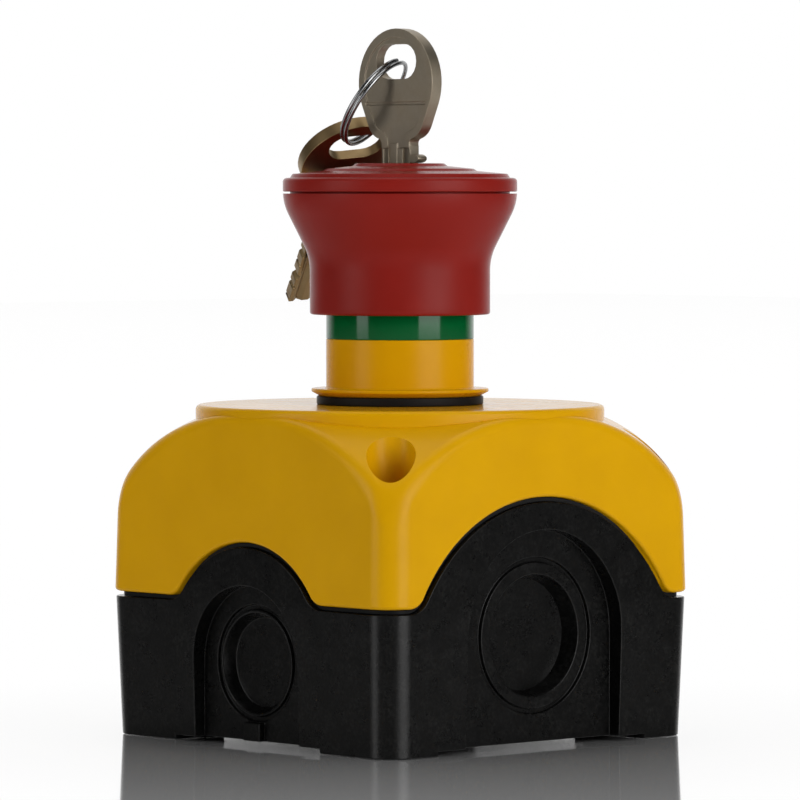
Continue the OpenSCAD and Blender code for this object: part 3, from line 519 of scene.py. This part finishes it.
def lid_distance(points, inset=0.0, soft=LID["soft"]):
    """Millimetres outside the lid's skin, below 0 inside it, for rows of points."""
    x, y, z = points[..., 0], points[..., 1], points[..., 2]
    half = LID["width"] / 2 - (z - LID["edge"]) * DRAFT - LID["corner"]
    ax, ay = np.abs(x) - half, np.abs(y) - half
    box = np.hypot(np.maximum(ax, 0), np.maximum(ay, 0)) + np.minimum(np.maximum(ax, ay), 0)
    across = np.maximum(np.abs(x + y), np.abs(x - y)) / math.sqrt(2)
    rise = np.maximum(z - LID["shoulder_z"], 0)
    dome = np.hypot(np.maximum(across - SHOULDER_AT, 0), rise)
    a, b = box - LID["corner"] + inset + soft, dome - LID["shoulder"] + inset + soft
    return np.hypot(np.maximum(a, 0), np.maximum(b, 0)) + np.minimum(np.maximum(a, b), 0) - soft


def lid_inside(points):
    """The same for the inner skin, with the four screw pillars left standing."""
    off_x, off_y = np.abs(points[..., 0]) - LID["screw"], np.abs(points[..., 1]) - LID["screw"]
    pillars = LID["pillar"] - np.hypot(off_x, off_y)
    return np.maximum(lid_distance(points, LID["wall"], 0.01), pillars)


def meet(start, way, skin, near=0.0, far=60.0, steps=200):
    """The first place along each ray where the skin is crossed from inside."""
    reach = np.linspace(near, far, steps)
    low = np.zeros(way.shape[:-1]) + near
    found = np.zeros(way.shape[:-1], bool)
    for r in reach[1:]:
        outside = skin(start + way * r) > 0
        low = np.where(found | outside, low, r)
        found |= outside
    high = low + reach[1] - reach[0]
    for _ in range(HALVINGS):
        middle = (low + high) / 2
        outside = skin(start + way * middle[..., None]) > 0
        low, high = np.where(outside, low, middle), np.where(outside, middle, high)
    return start + way * low[..., None]


def skin_normal(points, step=0.01):
    """Directions straight out of the skin."""
    slope = [lid_distance(points + step * axis) - lid_distance(points - step * axis)
             for axis in np.eye(3)]
    slope = np.stack(slope, -1)
    return slope / np.linalg.norm(slope, axis=-1, keepdims=True)


high_spot = np.array((0.0, 0.0, LID["shoulder_z"] + LID["shoulder"]))
print("skin at the middle of a shoulder:", round(float(lid_distance(high_spot)), 3))

# %% [markdown]
# Its lower edge rises in a wide arch at the front and back and a narrow one at the sides. The
# edge is laid out for a quarter of the lid and mirrored, and each of its points carries one
# section of the moulding: top, skin, soft edge, cut face and inner wall.

# %% Lower edge of the lid
SLIM_ARCH, WIDE_ARCH, ARCH_FOOT, ARCH_STEP = (20.5, 14.0), (32.8, 9.5), 3.5, 0.55


def arch_line(radius, centre_z):
    """Half an arch, from its crown out to where its foot runs into the straight edge."""
    flat = LID["edge"] + ARCH_FOOT - centre_z
    out = math.sqrt((radius + ARCH_FOOT) ** 2 - flat ** 2)
    turn = math.atan2(flat, out)
    steps = max(8, int(radius * (math.pi / 2 - turn) / ARCH_STEP))
    crown = [(radius * math.cos(a), centre_z + radius * math.sin(a))
             for a in np.linspace(math.pi / 2, turn, steps)]
    toe = [(out + ARCH_FOOT * math.cos(a), centre_z + flat + ARCH_FOOT * math.sin(a))
           for a in np.linspace(math.pi + turn, 1.5 * math.pi, 11)[1:]]
    return np.array(crown + toe)


def lid_edge():
    """Points of the edge and the directions out of the skin and out of the edge there."""
    half, r = LID["width"] / 2, LID["corner"]
    slim, wide = arch_line(*SLIM_ARCH), arch_line(*WIDE_ARCH)
    straight = np.linspace(slim[-1][0], half - r, 20)[1:-1]
    slim = np.concatenate([slim, [(v, LID["edge"]) for v in straight]])
    side_x = [(half, a, z) for a, z in slim]
    bend = [(half - r + r * math.cos(t), half - r + r * math.sin(t), LID["edge"])
            for t in np.linspace(0, math.pi / 2, 22)]
    side_y = [(a, half, z) for a, z in wide[::-1]]
    quarter = np.array(side_x + bend + side_y)
    parts = []
    for turn, (sx, sy) in enumerate(CORNERS):
        part = quarter * (sx, sy, 1)
        parts.append((part if turn % 2 == 0 else part[::-1])[:-1])
    edge = np.concatenate(parts)
    out = (edge - np.clip(edge, -(half - r), half - r)) * (1, 1, 0)
    out /= np.linalg.norm(out, axis=1, keepdims=True)
    edge = edge - out * DRAFT * (edge[:, 2:] - LID["edge"])
    along = np.roll(edge, -1, 0) - np.roll(edge, 1, 0)
    down = np.cross(out, along)
    down /= np.linalg.norm(down, axis=1, keepdims=True)
    down *= np.sign(-down[:, 2:] + 1e-9)
    return edge, out, down


edge_at, edge_out, edge_down = lid_edge()
print("points along the lid's edge:", len(edge_at))

# %% [markdown]
# Every row of the lid's grid has one point for each point of the lower edge. The first rows
# are rings on the flat round top and on its rounded rim.

# %% Round top of the lid
RIM_R, ARC_ROWS, CORE_Z = 0.8, 7, 30.0
TOP_RINGS = (LID["hole"], 11.35, 16, 22, 28, 33.6)
UP = np.array((0.0, 0.0, 1.0))
core_at = UP * CORE_Z
azimuth = np.arctan2(edge_at[:, 1], edge_at[:, 0])
around = np.stack([np.cos(azimuth), np.sin(azimuth), np.zeros_like(azimuth)], -1)


def ring_at(radius, height):
    return around * radius + UP * height


def tilt_of(ways):
    return np.arctan2(ways[:, 2], np.hypot(ways[:, 0], ways[:, 1]))


rows = [ring_at(r, LID["top"]) for r in TOP_RINGS]
for a in np.radians(np.linspace(0, 90, ARC_ROWS)):
    rows.append(ring_at(LID["disc"] - RIM_R + RIM_R * math.sin(a),
                        LID["top"] - RIM_R + RIM_R * math.cos(a)))
print("rows on the round top:", len(rows))

# %% [markdown]
# From there rows of rays run down the skin to the lower edge, which gets a soft quarter
# round of its own.

# %% Outer skin of the lid
EDGE_R, SKIN_ROWS, SEAM_FROM = 0.7, 58, 45.0
straight_up = np.broadcast_to(UP, around.shape)
seam = meet(ring_at(LID["disc"], SEAM_FROM), straight_up, lid_distance, far=12)
rows += [seam + UP * 0.25, seam]
upper, lower = seam - core_at, edge_at - edge_down * EDGE_R - core_at
turn_up, turn_low = (np.arctan2(v[:, 1], v[:, 0]) for v in (upper, lower))
turn_gap = (turn_low - turn_up + np.pi) % (2 * np.pi) - np.pi
tilt_up, tilt_low = tilt_of(upper), tilt_of(lower)
for t in np.linspace(0, 1, SKIN_ROWS + 1)[1:]:
    turn, tilt = turn_up + turn_gap * t, tilt_up + (tilt_low - tilt_up) * t
    way = np.stack([np.cos(turn) * np.cos(tilt), np.sin(turn) * np.cos(tilt), np.sin(tilt)], -1)
    rows.append(meet(core_at, way, lid_distance, near=20, far=55, steps=8))
centre = edge_at - edge_down * EDGE_R - edge_out * EDGE_R
for a in np.radians(np.linspace(0, 90, ARC_ROWS))[1:]:
    rows.append(centre + EDGE_R * (edge_out * math.cos(a) + edge_down * math.sin(a)))
print("rows down to the edge:", len(rows))

# %% [markdown]
# The cut face leads inwards, and the inner wall climbs back to the hole for the collar. The
# last row meets the first one again, which closes the moulding.

# %% Inner wall of the lid
WALL_ROWS, CREASE = 14, 32
CEILING_TILT, CEILING_R = math.radians(62), 11.4
inner = meet(UP * edge_at[:, 2:], around, lid_inside, near=10, far=55)
rows += [rows[-1] + (inner - rows[-1]) * t for t in (0.1, 0.9, 1.0)]
tilt_in = tilt_of(inner - core_at)
for t in np.linspace(0, 1, WALL_ROWS + 1)[1:]:
    tilt = (tilt_in + (CEILING_TILT - tilt_in) * t)[:, None]
    way = around * np.cos(tilt) + UP * np.sin(tilt)
    rows.append(meet(core_at, way, lid_inside, near=5, far=60))
ceiling = float(rows[-1][:, 2].max())
rows += [ring_at(CEILING_R, ceiling), ring_at(LID["hole"], ceiling),
         ring_at(LID["hole"], LID["top"] - 0.3)]

count = len(edge_at)
faces = []
for i in range(len(rows)):
    j = (i + 1) % len(rows)
    for k in range(count):
        n = (k + 1) % count
        faces.append((i * count + k, i * count + n, j * count + n, j * count + k))
lid_skin = mesh_piece("lid_skin", np.concatenate(rows) * MM, faces, YELLOW, CREASE)

# %% [markdown]
# The four screw pockets are drilled through the shoulders with a boolean.

# %% Screw pockets
DRILL_TOP = 60.0


def drill(piece, tools):
    """Cuts each tool out of a piece."""
    for tool in tools:
        cut = piece.modifiers.new("cut", "BOOLEAN")
        cut.operation, cut.solver, cut.object = "DIFFERENCE", "EXACT", tool
    mesh = evaluated(piece)
    piece.modifiers.clear()
    piece.data = mesh
    for tool in tools:
        bpy.data.objects.remove(tool)


drills = []
for sx, sy in CORNERS:
    bit = turned("drill", [
        (0, LID["pocket_floor"], 0), (LID["pocket"], LID["pocket_floor"], 0.3),
        (LID["pocket"], DRILL_TOP, 0), (0, DRILL_TOP, 0)], YELLOW, around=72)
    bit.data.transform(Matrix.Translation((sx * LID["screw"] * MM, sy * LID["screw"] * MM, 0)))
    drills.append(bit)
drill(lid_skin, drills)

# %% [markdown]
# A fine grid still shades a little unevenly where a tight curve crosses it. The function
# knows the true direction of the skin everywhere, so those directions are stored as normals.

# %% True normals on the skin
SKIN_REACH, LIKE_FACE = 0.04, 0.8


def numbers(items, key, kind=float):
    """Reads one value, or one vector in three numbers, from every item of a mesh."""
    found = np.empty(len(items) * (3 if kind is float else 1), kind)
    items.foreach_get(key, found)
    return found.reshape(-1, 3) if kind is float else found


def true_normals(piece):
    """Stores the skin's own directions on every face that lies wholly on it."""
    mesh = piece.data
    mesh.shade_smooth()
    mesh.set_sharp_from_angle(angle=math.radians(CREASE))
    spots = numbers(mesh.vertices, "co") / MM
    corners = numbers(mesh.loops, "vertex_index", int)
    normals = numbers(mesh.corner_normals, "vector")
    sides = numbers(mesh.polygons, "normal")
    ideal = skin_normal(spots)
    on_skin = np.abs(lid_distance(spots)) < SKIN_REACH
    changed = 0
    for index, polygon in enumerate(mesh.polygons):
        loops = list(polygon.loop_indices)
        at = corners[loops]
        if on_skin[at].all() and (ideal[at] @ sides[index]).min() > LIKE_FACE:
            normals[loops] = ideal[at]
            changed += 1
    mesh.normals_split_custom_set([tuple(n) for n in normals])
    print(piece.name, "has true normals on", changed, "of", len(mesh.polygons), "faces")


true_normals(lid_skin)
stands_for(lid_skin, "enclosure", "yellow", "lid")

# %% [markdown]
# The base, the keys and the inner pieces have the right shape in the construction model, but
# their edges are knife sharp, and no real edge is. A copy gets its doubled points joined and
# its split flats made whole again. Then a bevel rounds the edges that a finger could feel, and
# normals weighted by area keep the flats between the rounded edges flat to the light.

# %% Helper for softened copies
SAME_PLANE, EDGE_ANGLE = math.radians(0.5), math.radians(28)


def softened(node, name, width, finish, join=0.03, keep=None, reshape=None):
    """A copy of a construction piece with rounded edges: sizes in millimetres."""
    work = bmesh.new()
    work.from_mesh(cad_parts[node].data)
    bmesh.ops.remove_doubles(work, verts=work.verts, dist=join * MM)
    bmesh.ops.dissolve_limit(work, angle_limit=SAME_PLANE, verts=work.verts, edges=work.edges)
    if reshape:
        reshape(work)
    weight = work.edges.layers.float.new("bevel_weight_edge")
    for edge in work.edges:
        middle = (edge.verts[0].co + edge.verts[1].co) / (2 * MM)
        sharp = len(edge.link_faces) == 2 and edge.calc_face_angle() > EDGE_ANGLE
        edge[weight] = float(sharp and not (keep and keep(middle)))
        edge.smooth = not sharp or edge[weight] > 0
    for face in work.faces:
        face.smooth = True
    mesh = bpy.data.meshes.new(name)
    work.to_mesh(mesh)
    work.free()
    draft = linked("draft", mesh)
    soft = draft.modifiers.new("soft", "BEVEL")
    soft.width, soft.segments = width * MM, 2
    soft.limit_method, soft.use_clamp_overlap = "WEIGHT", False
    draft.modifiers.new("flat", "WEIGHTED_NORMAL").keep_sharp = True
    mesh = evaluated(draft)
    bpy.data.objects.remove(draft)
    return finished(name, mesh, finish, None)


# %% [markdown]
# Nobody sees the edges deep inside the base, so they stay as they are.

# %% Base
BASE_FLOOR, BASE_INSIDE = 3.1, 30.6


def deep_inside(middle):
    return middle.z > BASE_FLOOR and max(abs(middle.x), abs(middle.y)) < BASE_INSIDE


base_shell = softened("base", "base_shell", 0.18, BLACK, join=0.08, keep=deep_inside)
stands_for(base_shell, "enclosure", "black", "base")

# %% [markdown]
# The keys are stamped, with a raised border round the bow and two milled flutes on each face
# of the blade. The little lug beside the neck stands lower on the real key than in the
# construction model, where it carries the key's weight, so the copy's lug is pressed down.

# %% Keys
LUG_SIDE, LUG_FOOT, LUG_TOP = -3.6, 98.5, 102.2


def press_lug(work):
    """Leaves half of the lug's height."""
    for corner in work.verts:
        _, y, z = corner.co / MM
        if y < LUG_SIDE and LUG_FOOT - 0.1 < z < LUG_TOP:
            corner.co.z = (LUG_FOOT + (z - LUG_FOOT) * 0.5) * MM


main_key = softened("key", "main_key", 0.1, NICKEL, join=0.02, reshape=press_lug)
stands_for(main_key, "key", "key", "key")
second_key = softened("spare_key", "second_key", 0.1, OLD_NICKEL, join=0.02)
stands_for(second_key, "spare_key", "key", "spare_key")

# %% [markdown]
# Wire and screws repeat or follow a path, which is what Geometry Nodes are for. A recipe is a
# small tree with named inputs. It runs once on a piece, and the result is kept as plain mesh.


# %% Helper for Geometry Nodes
class Recipe(Finish):
    """A tree that makes geometry from named inputs."""

    KINDS = {float: "NodeSocketFloat", int: "NodeSocketInt"}

    def __init__(self, name, **inputs):
        tree = bpy.data.node_groups.new(name, "GeometryNodeTree")
        super().__init__(name, tree)
        self.socket("Geometry", "INPUT", "NodeSocketGeometry")
        self.socket("Finish", "INPUT", "NodeSocketMaterial")
        for key, value in inputs.items():
            self.socket(key, "INPUT", self.KINDS[type(value)]).default_value = value
        self.socket("Geometry", "OUTPUT", "NodeSocketGeometry")
        self.given = tree.nodes.new("NodeGroupInput")

    def socket(self, name, side, kind):
        return self.tree.interface.new_socket(name, in_out=side, socket_type=kind)

    def take(self, name):
        return Wire(self, self.given.outputs[name])

    def give(self, geometry):
        """Ends the tree: copies become real mesh and take their finish."""
        real = self.add("GeometryNodeRealizeInstances", None, (geometry,))
        values = {"Geometry": real, "Material": self.take("Finish")}
        coated = self.add("GeometryNodeSetMaterial", None, values)
        self.add("NodeGroupOutput", None, (coated,))

    def make(self, name, finish, start=None, **values):
        """Runs the recipe on a mesh and returns the result as a finished piece."""
        draft = linked("draft", start or bpy.data.meshes.new("empty"))
        step = draft.modifiers.new("recipe", "NODES")
        step.node_group = self.tree
        values["Finish"] = finish
        for item in self.tree.interface.items_tree:
            if item.in_out == "INPUT" and item.name in values:
                step[item.identifier] = values[item.name]
        mesh = evaluated(draft)
        bpy.data.objects.remove(draft)
        return finished(name, mesh, finish)


# %% [markdown]
# A coil spring and a split ring are the same thing: wire wound round, flat for a while, then
# rising, then flat again. A spiral curve gives the turns and its share of the length gives
# the rise, so one recipe makes both.

# %% Recipe for wound wire
winding = Recipe("wound_wire", Radius=0.002, Wire=0.0005, Height=0.006, Turns=4.0, Flat=0.75)
turns, half_wire = winding.take("Turns"), winding.take("Wire") * 0.5
flat_share = winding.take("Flat") / turns
path = winding.add("GeometryNodeCurveSpiral", None, {
    "Resolution": 64, "Rotations": turns, "Start Radius": winding.take("Radius"),
    "End Radius": winding.take("Radius"), "Height": 0.0, "Reverse": True})
share = winding.add("GeometryNodeSplineParameter")
rise = winding.add("ShaderNodeMapRange", {"clamp": True}, {
    "Value": share, "From Min": flat_share, "From Max": 1 - flat_share,
    "To Min": half_wire, "To Max": winding.take("Height") - half_wire})
lift = winding.add("ShaderNodeCombineXYZ", None, {"Z": rise})
risen = winding.add("GeometryNodeSetPosition", None, {"Geometry": path, "Offset": lift})
section = winding.add("GeometryNodeCurvePrimitiveCircle", None, {
    "Resolution": 14, "Radius": half_wire})
winding.give(winding.add("GeometryNodeCurveToMesh", None, {
    "Curve": risen, "Profile Curve": section, "Fill Caps": True}))
print("nodes in the recipe:", len(winding.tree.nodes))

# %% [markdown]
# Every spring takes its place and size from the construction model's own box. In the real button
# its lower end stands still and the head pushes the upper end down; each coil made here keeps the
# length of its box.


def spring(node, wire, turns):
    """A coil that fills the box of a construction spring."""
    low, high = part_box(node)
    foot = ((low[0] + high[0]) / 2, (low[1] + high[1]) / 2, low[2])
    width, height = high[0] - low[0], high[2] - low[2]
    piece = winding.make(node + "_wire", ZINC, Radius=(width - wire) / 2, Wire=wire,
                         Height=height, Turns=turns, Flat=0.75)
    piece.data.transform(Matrix.Translation(foot))
    stands_for(piece, "enclosure", "steel", node)
    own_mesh(piece)


spring("return_spring", 0.9 * MM, 5.0)
for side in ("left", "right"):
    spring("contact_spring_" + side, 0.5 * MM, 4.0)

# %% [markdown]
# The split ring is two turns of wire less a gap, where one turn steps over to the other. Its
# upper turn ends inside the key's hole, as in the photograph.

# %% Split ring
RING_AT, RING_HEADING, RING_TILT = (1.08, 7.51, 109.12), 114.5, 56.15
RING_R, RING_WIRE, RING_HIGH, RING_GAP, RING_END = 8.4, 0.74, 1.55, 60.0, 176.0


def rotated(degrees, axis):
    return Matrix.Rotation(math.radians(degrees), 4, axis)


ring_wire = winding.make("ring_wire", CHROME, Radius=RING_R * MM, Wire=RING_WIRE * MM,
                         Height=RING_HIGH * MM, Turns=2 - RING_GAP / 360,
                         Flat=1 - RING_GAP / 360)
placing = Matrix.Translation(Vector(RING_AT) * MM)
placing @= rotated(RING_HEADING, "Z") @ rotated(RING_TILT, "Y") @ rotated(RING_END + RING_GAP, "Z")
ring_wire.data.transform(placing @ Matrix.Translation((0, 0, -RING_HIGH / 2 * MM)))
stands_for(ring_wire, "ring", "ring", "split_ring")

# %% [markdown]
# Four pan-head screws hold the lid. One is turned and its cross recess is cut, and a second
# recipe sets it in the four corners, each one stopped at a different angle as by hand.

# %% Recipe for the four corners
FULL_TURN = 6.28
corners = Recipe("four_corners", Spacing=0.06, Seed=7)
grid = corners.add("GeometryNodeMeshGrid", None, {
    "Size X": corners.take("Spacing"), "Size Y": corners.take("Spacing"),
    "Vertices X": 2, "Vertices Y": 2})
angle = corners.add("FunctionNodeRandomValue", {"data_type": "FLOAT"},
                    {2: 0.0, 3: FULL_TURN, "Seed": corners.take("Seed")}, out=1)
spun = corners.add("ShaderNodeCombineXYZ", None, {"Z": angle})
corners.give(corners.add("GeometryNodeInstanceOnPoints", None, {
    "Points": grid, "Instance": corners.take("Geometry"), "Rotation": spun}))
print("nodes in the recipe:", len(corners.tree.nodes))

# %% Lid screws
THREAD_R, TIP_R, TIP_HIGH = 1.75, 1.2, 1.2
PAN_R, PAN_FLAT_R, PAN_LOW, PAN_SIDE, PAN_TOP = 3.4, 2.4, LID["pocket_floor"], 32.7, 33.6
RECESS_FLOOR, RECESS_TOP, RECESS_LONG, RECESS_WIDE = 32.3, 35, 4.2, 0.95
UNIT_SQUARE_R = 0.7071
screw_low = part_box("lid_screws")[0][2] / MM
one_screw = turned("one_screw", [
    (0, screw_low, 0), (TIP_R, screw_low, 0.2), (THREAD_R, screw_low + TIP_HIGH, 0.2),
    (THREAD_R, PAN_LOW, 0), (PAN_R, PAN_LOW, 0.15), (PAN_R, PAN_SIDE, 0.7),
    (PAN_FLAT_R, PAN_TOP, 0.6), (0, PAN_TOP, 0)], ZINC, around=48)
slots = []
for turn in (45, 135):
    slot = turned("slot", [
        (0, RECESS_FLOOR, 0), (UNIT_SQUARE_R, RECESS_FLOOR, 0),
        (UNIT_SQUARE_R, RECESS_TOP, 0), (0, RECESS_TOP, 0)], ZINC, around=4)
    slot.data.transform(rotated(turn, "Z") @ Matrix.Scale(RECESS_LONG, 4, (1, 1, 0))
                        @ Matrix.Scale(RECESS_WIDE, 4, (1, -1, 0)))
    slots.append(slot)
drill(one_screw, slots)
four_screws = corners.make("four_screws", ZINC, one_screw.data, Spacing=2 * LID["screw"] * MM)
bpy.data.objects.remove(one_screw)
stands_for(four_screws, "enclosure", "steel", "lid_screws")

# %% [markdown]
# The other inner pieces get the same soft edges as the base, and the smallest keep the
# construction model's own shape and only take a finish.

# %% Inner pieces
inner_pieces = {
    "lid_seal": ("seal_cord", 0.1, RUBBER, "enclosure", "rubber"),
    "mounting_nut": ("ring_nut", 0.3, GREY, "enclosure", "grey"),
    "plunger_stem": ("stem", 0.2, WHITE, "head", "white"),
    "release_cam": ("cam", 0.1, ZINC, "plug", "steel"),
    "lock_plug": ("plug_face", 0.12, LOCK_NICKEL, "plug", "lock"),
    "contact_adapter": ("adapter", 0.15, GREY, "enclosure", "grey"),
    "contact_block_left": ("block_left", 0.12, BLOCK, "enclosure", "block"),
    "contact_block_right": ("block_right", 0.12, BLOCK, "enclosure", "block"),
}
for node, (name, width, finish, body, slot_name) in inner_pieces.items():
    stands_for(softened(node, name, width, finish, join=0.01), body, slot_name, node)

carried = {BRASS: ["latch_bolt", "contact_bridge", "fixed_contacts"], WHITE: ["contact_plunger"],
           ZINC: ["terminal_screws", "terminal_clamps"]}
for finish, nodes in carried.items():
    for node in (f"{n}_{side}" for n in nodes for side in ("left", "right")):
        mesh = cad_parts[node].data
        mesh.materials.clear()
        mesh.materials.append(finish)
print("softened:", len(inner_pieces), "carried:", 2 * sum(len(n) for n in carried.values()))
